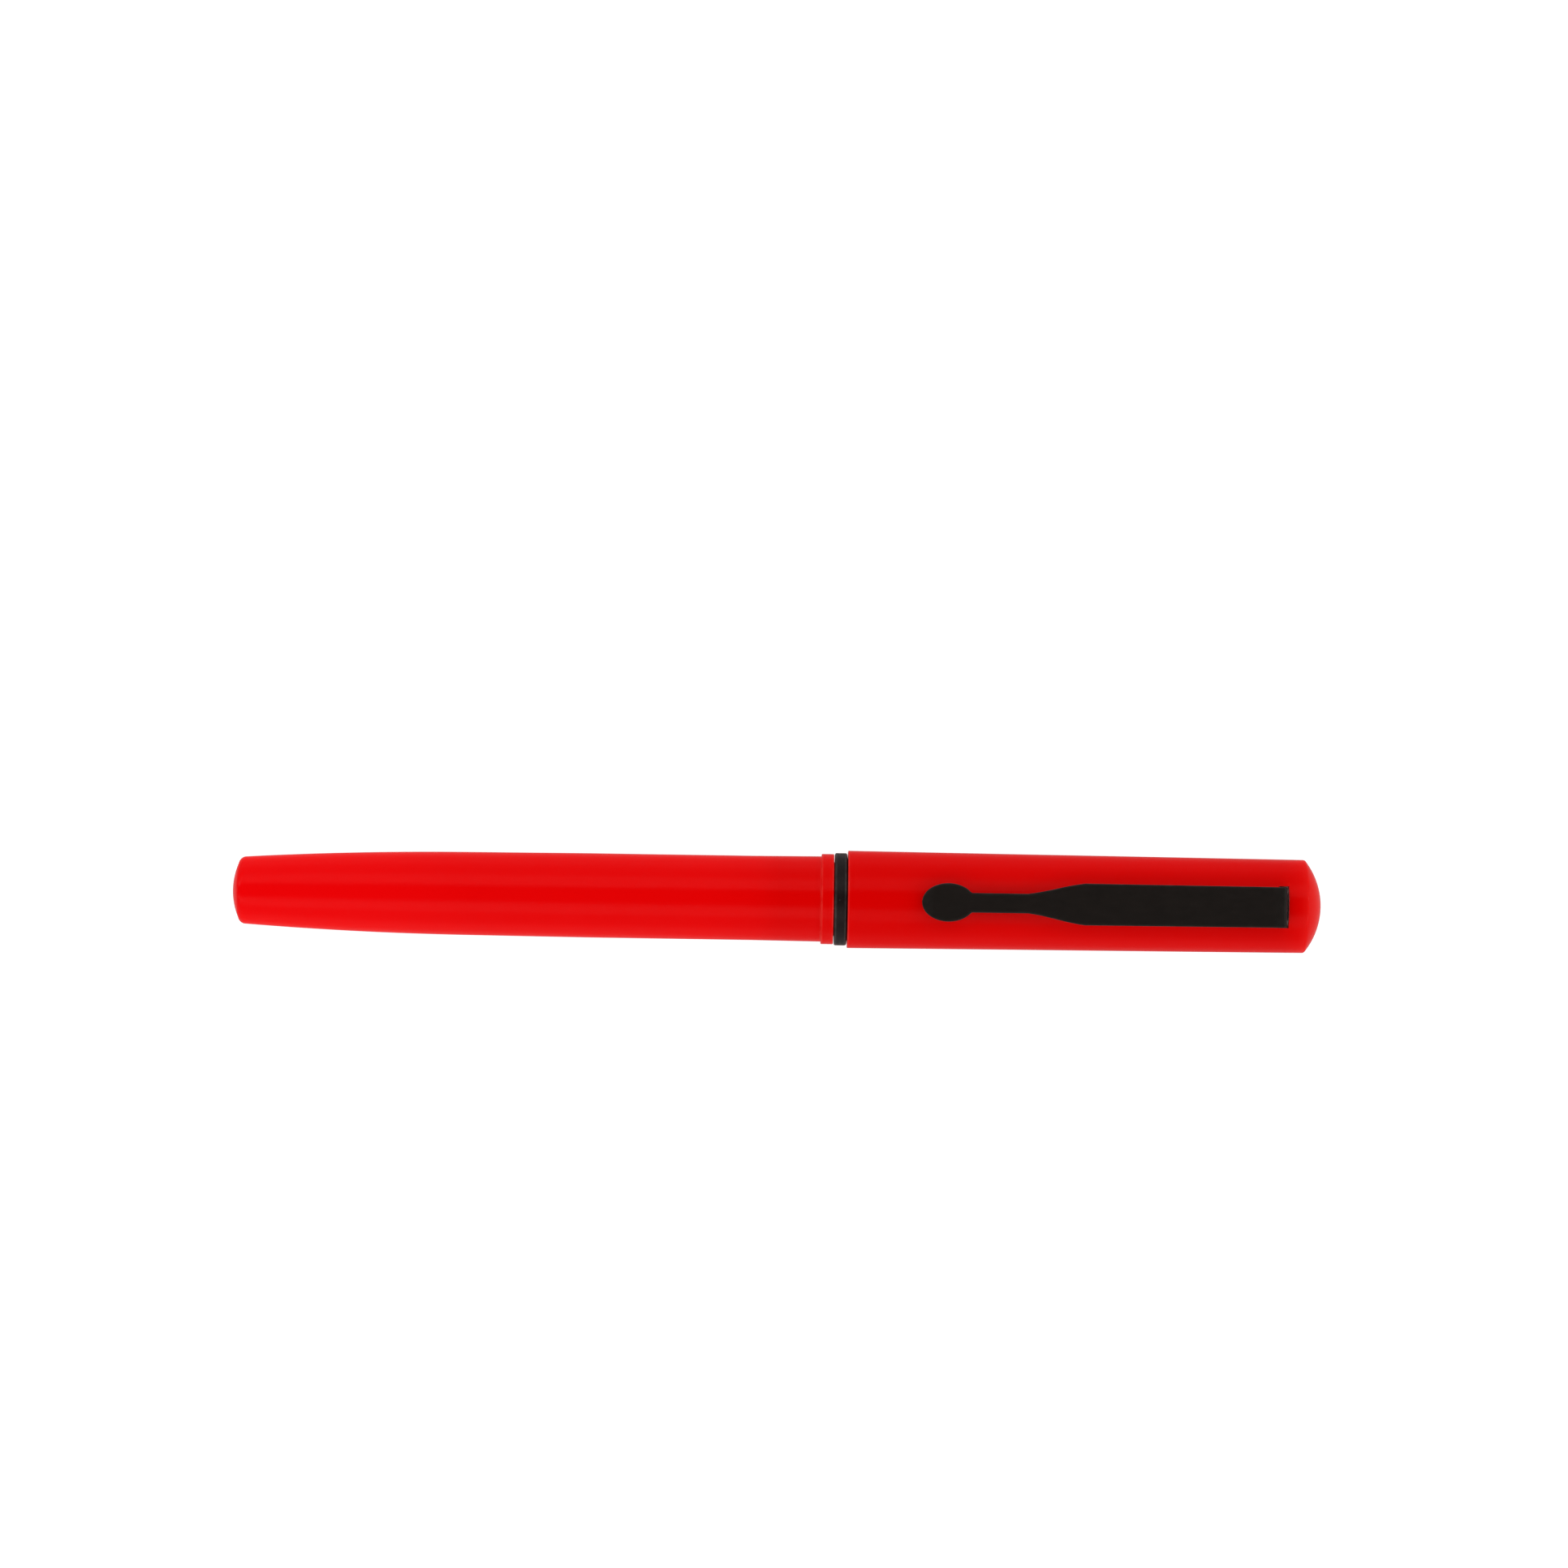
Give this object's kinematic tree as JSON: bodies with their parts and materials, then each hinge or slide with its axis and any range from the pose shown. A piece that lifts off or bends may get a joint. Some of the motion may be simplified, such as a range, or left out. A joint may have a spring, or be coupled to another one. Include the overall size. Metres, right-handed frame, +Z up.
{
  "type": "ball pen",
  "caption": "Capped ball pen with a closed screw-on barrel, black section, replaceable ball refill on a spring, and a snap cap with a pocket clip.",
  "frame": {"origin": "under the middle of the capped pen, at the height of the lowest point of the cap's mouth; the pen's axis is 6 mm above it", "axes": "+X along the pen's axis from the barrel's closed tail to the cap's domed end, +Z up through the pocket clip, +Y across"},
  "size_m": [0.134, 0.012, 0.0138],
  "materials": {
    "red_barrel": "gloss moulded, translucent red edge",
    "red_cap": "gloss moulded, slightly deeper red",
    "black_gloss": "satin gloss moulded",
    "black_clip": "satin black paint on folded strip",
    "nickel_silver": "turned, fine rings",
    "ball_carbide": "ground",
    "steel_tube": "drawn, satin",
    "spring_steel": "bright wire",
    "blue_plug": "moulded",
    "liner_plastic": "natural moulded",
    "ink": "paste",
    "grease": "clear grease"
  },
  "bodies": {
    "section": {"grip_section": "black_gloss", "nose_cone": "black_gloss"},
    "collar": {"collar_ring": "black_gloss"},
    "barrel": {"barrel": "red_barrel", "refill_spring": "spring_steel"},
    "refill": {"refill_tube": "steel_tube", "refill_end_plug": "blue_plug", "ink_column": "ink", "ink_follower": "grease", "writing_point": "nickel_silver"},
    "ball": {"writing_ball": "ball_carbide"},
    "cap": {"cap_shell": "red_cap", "inner_cap": "liner_plastic"},
    "clip": {"clip": "black_clip"}
  },
  "joints": [
    {"name": "cap_slide", "type": "slide", "parent": "section", "child": "cap", "axis": [1, 0, 0], "range_m": [0, 0.055]},
    {"name": "barrel_turn", "type": "hinge", "parent": "section", "child": "collar", "pos_m": [0, 0, 0.006], "axis": [-1, 0, 0], "range_deg": [0, 1620]},
    {"name": "barrel_back_off", "type": "slide", "parent": "collar", "child": "barrel", "axis": [-1, 0, 0], "range_m": [0, 0.00675]},
    {"name": "refill_spring_back", "type": "slide", "parent": "section", "child": "refill", "axis": [1, 0, 0], "range_m": [-0.0015, 0], "stiffness_N_per_m": 500, "springref_m": 0.002, "deforming": ["refill_spring"]},
    {"name": "ball_roll", "type": "hinge", "parent": "refill", "child": "ball", "pos_m": [0.05585, 0, 0.006], "axis": [0, 1, 0], "continuous": true},
    {"name": "clip_flex", "type": "hinge", "parent": "cap", "child": "clip", "pos_m": [0.06185, 0, 0.0112], "axis": [0, 1, 0], "range_deg": [0, 4], "stiffness_Nm_per_rad": 2.35}
  ],
  "couplings": [
    {"joint": "barrel_turn", "follows": "barrel_back_off", "rad_per_m": 4188.8}
  ]
}
